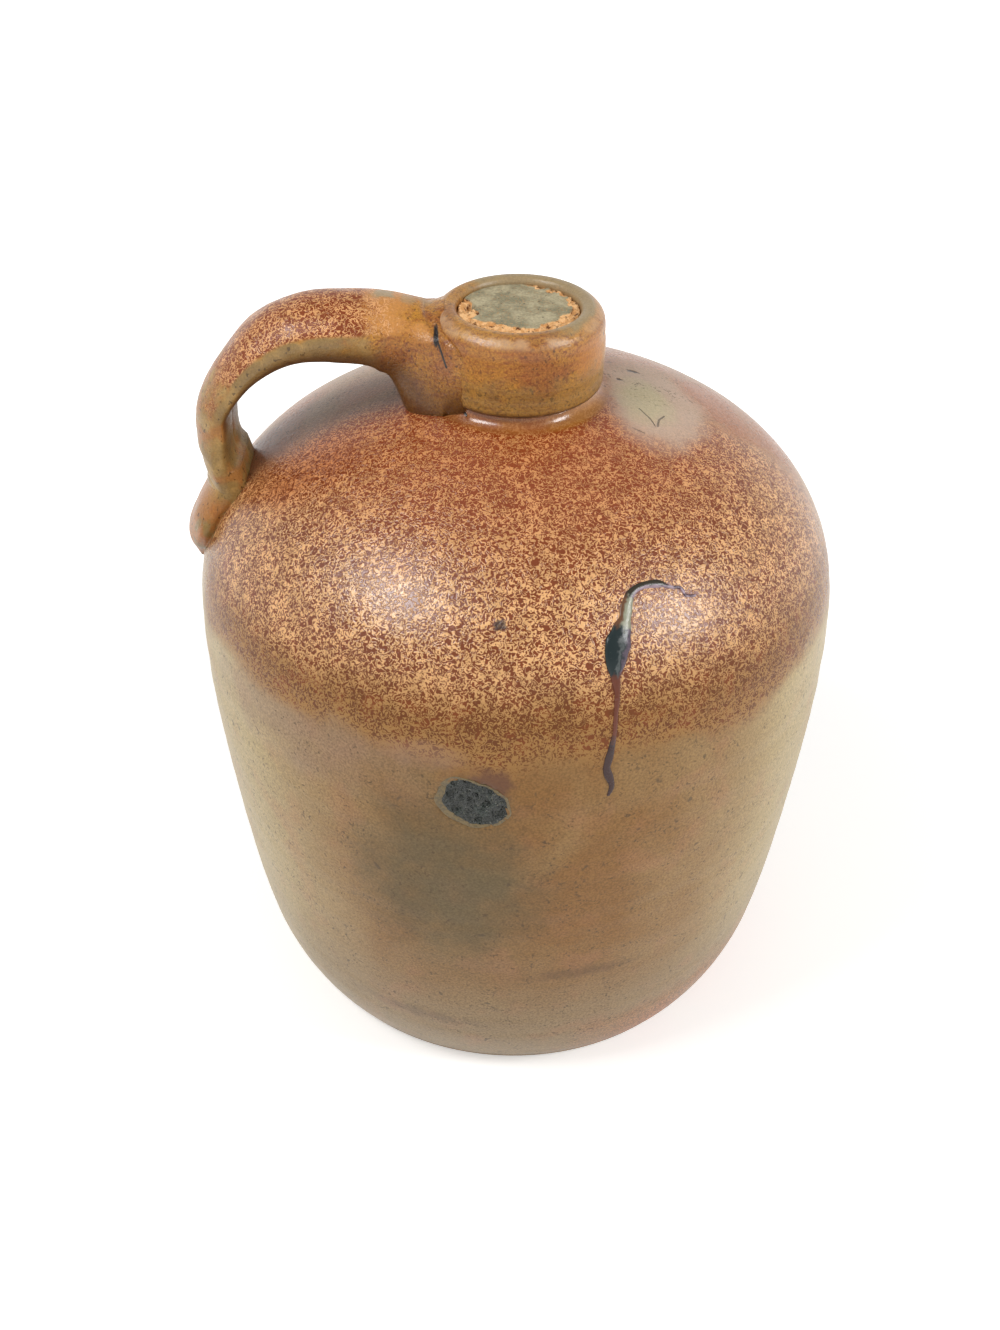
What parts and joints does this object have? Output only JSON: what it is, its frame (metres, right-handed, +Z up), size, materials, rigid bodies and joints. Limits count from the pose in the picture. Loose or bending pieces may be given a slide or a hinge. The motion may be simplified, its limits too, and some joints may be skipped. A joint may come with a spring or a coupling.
{
  "type": "stoneware jug",
  "caption": "Salt-glazed stoneware jug with a rounded shoulder, a thick collar round a narrow mouth, a strap handle on one side and a cork that pulls out.",
  "frame": {"origin": "middle of the flat foot", "axes": "+Z up through the mouth, -X towards the handle, -Y towards the side with the drip and the stone"},
  "size_m": [0.1921, 0.19, 0.228],
  "materials": {
    "body_glaze": "mottled brown salt glaze",
    "collar_glaze": "speckled ochre salt glaze",
    "handle_glaze": "mottled tan salt glaze",
    "cork_bark": "grimy pitted cork",
    "kiln_glass": "dark glossy run of kiln glass",
    "iron_stone": "rough glassy dark stone"
  },
  "bodies": {
    "jug": {"thrown_body": "body_glaze", "neck_collar": "collar_glaze", "strap_handle": "handle_glaze", "kiln_drip": "kiln_glass", "stone_inclusion": "iron_stone"},
    "cork": {"cork_stopper": "cork_bark"}
  },
  "joints": [
    {"name": "cork_pull", "type": "slide", "parent": "jug", "child": "cork", "axis": [0, 0, 1], "range_m": [0, 0.042]}
  ]
}
